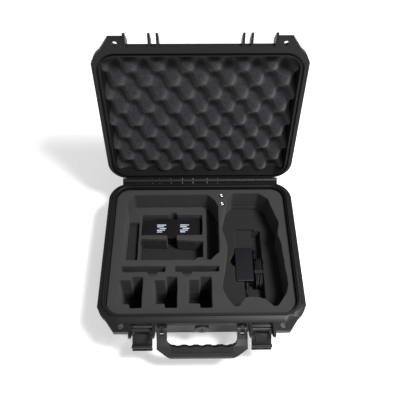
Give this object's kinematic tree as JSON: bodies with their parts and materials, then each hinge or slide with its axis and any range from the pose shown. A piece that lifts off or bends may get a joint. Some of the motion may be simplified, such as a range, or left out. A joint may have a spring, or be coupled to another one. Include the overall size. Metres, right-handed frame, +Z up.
{
  "type": "drone carrying case",
  "caption": "Hard drone carrying case, open, with die-cut foam, egg-crate lid foam, two latches, folding handle, charging hub, charger and control sticks.",
  "frame": {"origin": "middle of the base's flat bottom, on the surface it stands on", "axes": "+Z up, -Y towards the front with the handle, +X to the right seen from the front"},
  "size_m": [0.32, 0.3792, 0.3803],
  "materials": {
    "shell_black": "fine moulded grain",
    "part_black": "smooth satin",
    "steel": "drawn pin",
    "rubber_black": "matt",
    "foam_base": "closed-cell foam",
    "foam_lid": "open-cell convoluted foam",
    "device_black": "satin",
    "label_white": "plain pale bars",
    "cord_black": "matt",
    "stick_silver": "knurled"
  },
  "bodies": {
    "base": {"base_shell": "shell_black", "hinge_pin": "steel", "foam_top_sheet": "foam_base", "foam_middle_sheet": "foam_base", "foam_lower_sheet": "foam_base", "foam_floor_sheet": "foam_base", "latch_pin_left": "steel", "latch_pin_right": "steel", "handle_pin_left": "steel", "handle_pin_right": "steel", "valve_body": "part_black", "valve_seal": "rubber_black", "hub_lower_shell": "device_black", "hub_upper_shell": "device_black", "hub_labels": "label_white", "charger_lower_shell": "device_black", "charger_upper_shell": "device_black", "charger_relief": "cord_black", "cord_lead": "cord_black", "cord_hank": "cord_black", "cord_tie": "rubber_black", "cord_plug": "device_black", "thumbstick_back": "stick_silver", "thumbstick_front": "stick_silver"},
    "lid": {"lid_shell": "shell_black", "lid_gasket": "rubber_black", "lid_foam": "foam_lid"},
    "latch_left": {"latch_left": "part_black"},
    "latch_right": {"latch_right": "part_black"},
    "handle": {"handle_frame": "part_black", "handle_grip": "rubber_black"},
    "valve": {"valve_knob": "part_black"}
  },
  "joints": [
    {"name": "lid_hinge", "type": "hinge", "parent": "base", "child": "lid", "pos_m": [0, 0.1385, 0.09], "axis": [1, 0, 0], "range_deg": [0, 96.2]},
    {"name": "latch_left_turn", "type": "hinge", "parent": "base", "child": "latch_left", "pos_m": [-0.0905, -0.1375, 0.077], "axis": [1, 0, 0], "range_deg": [-128, 0]},
    {"name": "latch_right_turn", "type": "hinge", "parent": "base", "child": "latch_right", "pos_m": [0.0905, -0.1375, 0.077], "axis": [1, 0, 0], "range_deg": [-128, 0]},
    {"name": "handle_swing", "type": "hinge", "parent": "base", "child": "handle", "pos_m": [0, -0.1365, 0.076], "axis": [1, 0, 0], "range_deg": [-38, 50]},
    {"name": "valve_knob_turn", "type": "hinge", "parent": "base", "child": "valve", "pos_m": [0, -0.13, 0.067], "axis": [0, -1, 0], "range_deg": [0, 120]}
  ]
}
